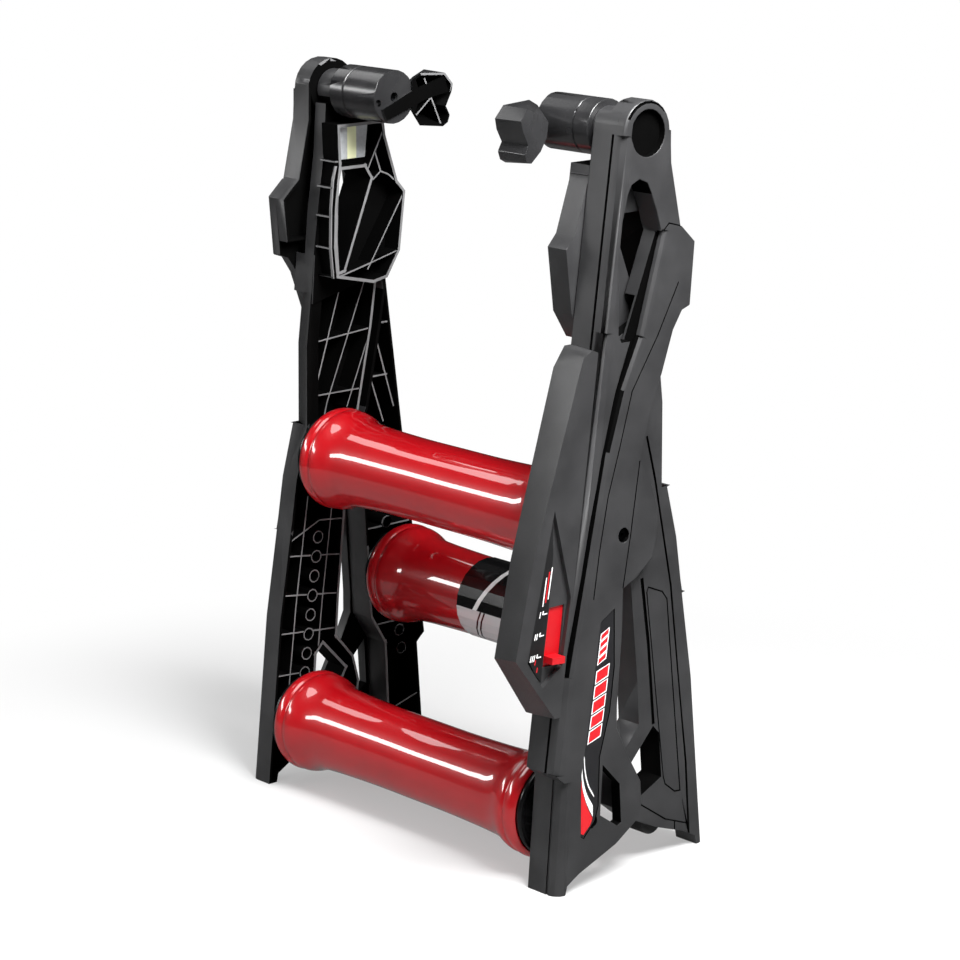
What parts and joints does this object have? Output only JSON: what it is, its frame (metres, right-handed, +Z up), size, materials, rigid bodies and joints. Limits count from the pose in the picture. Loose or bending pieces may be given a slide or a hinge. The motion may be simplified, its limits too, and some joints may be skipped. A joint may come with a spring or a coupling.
{
  "type": "bicycle training rollers",
  "caption": "Folding training rollers stood on end: two hinged sections with ribbed plastic side frames, flared red drums, folding centre feet and a magnetic brake with a sliding lever.",
  "frame": {"origin": "on the floor, under the middle of the folded stand from front to back, and midway between the side frames", "axes": "+X along the drums towards the side with the brake, -Y towards the front, which is the brake section's feet, +Z up to the hinge"},
  "size_m": [0.5, 0.29, 0.78],
  "materials": {
    "satin_black_plastic": "satin moulded glass-filled nylon",
    "gloss_red_paint": "high gloss red powder coat on aluminium tube",
    "gloss_black_plastic": "glossy black moulding",
    "steel": "bright zinc-plated steel",
    "aluminium": "turned aluminium",
    "dark_panel": "matt black plastic",
    "red_plastic": "moulded red plastic",
    "red_inlay": "printed glossy inlay",
    "pale_label": "pale printed label",
    "rubber": "black rubber"
  },
  "bodies": {
    "rear_section": {"rear_frame_right": "satin_black_plastic", "rear_frame_left": "satin_black_plastic", "hinge_barrel_left": "satin_black_plastic", "centre_foot_left": "satin_black_plastic", "brake_cover": "satin_black_plastic", "hub_cap_right": "gloss_black_plastic", "hinge_pin_left": "steel", "detent_spring": "steel", "upper_drum_spacer_left": "steel", "upper_drum_spacer_right": "steel", "lower_drum_spacer_left": "steel", "lower_drum_spacer_right": "steel", "upper_axle": "steel", "lower_axle": "steel", "upper_axle_bolt": "steel", "lower_axle_bolt": "steel", "brake_mark_panel": "dark_panel", "stripe_inlay_right": "red_inlay", "label_inlay_left": "pale_label", "rubber_foot_left": "rubber"},
    "front_section": {"front_frame_left": "satin_black_plastic", "front_frame_right": "satin_black_plastic", "hinge_barrel_right": "satin_black_plastic", "centre_foot_right": "satin_black_plastic", "hinge_pin_right": "steel", "hub_cap_left": "gloss_black_plastic", "stripe_inlay_left": "red_inlay", "label_inlay_right": "pale_label", "rubber_foot_right": "rubber", "front_axle": "steel", "front_axle_bolt": "steel", "front_drum_spacer_left": "steel", "front_drum_spacer_right": "steel"},
    "upper_drum": {"upper_drum": "gloss_red_paint", "upper_drum_cap_left": "gloss_black_plastic", "upper_drum_cap_right": "gloss_black_plastic", "upper_drum_bearing_left": "steel", "upper_drum_bearing_right": "steel", "brake_disc": "aluminium"},
    "lower_drum": {"lower_drum": "gloss_red_paint", "lower_drum_cap_left": "gloss_black_plastic", "lower_drum_cap_right": "gloss_black_plastic", "lower_drum_bearing_left": "steel", "lower_drum_bearing_right": "steel"},
    "front_drum": {"front_drum": "gloss_red_paint", "front_drum_cap_left": "gloss_black_plastic", "front_drum_cap_right": "gloss_black_plastic", "front_drum_bearing_left": "steel", "front_drum_bearing_right": "steel", "front_drum_band": "pale_label"},
    "brake_slider": {"brake_lever": "red_plastic", "magnet_holder": "dark_panel", "brake_magnet_lower": "steel", "brake_magnet_middle": "steel", "brake_magnet_upper": "steel"}
  },
  "joints": [
    {"name": "fold", "type": "hinge", "parent": "rear_section", "child": "front_section", "pos_m": [0, 0.023, 0.748], "axis": [1, 0, 0], "range_deg": [0, 167]},
    {"name": "upper_drum_spin", "type": "hinge", "parent": "rear_section", "child": "upper_drum", "pos_m": [0, -0.00254, 0.3562], "axis": [1, 0, 0], "continuous": true},
    {"name": "lower_drum_spin", "type": "hinge", "parent": "rear_section", "child": "lower_drum", "pos_m": [0, -0.04196, 0.06949], "axis": [1, 0, 0], "continuous": true},
    {"name": "front_drum_spin", "type": "hinge", "parent": "front_section", "child": "front_drum", "pos_m": [0, 0.08998, 0.21101], "axis": [1, 0, 0], "continuous": true},
    {"name": "brake_slide", "type": "slide", "parent": "rear_section", "child": "brake_slider", "axis": [0, 0.1332, 0.9911], "range_m": [0, 0.042]}
  ]
}
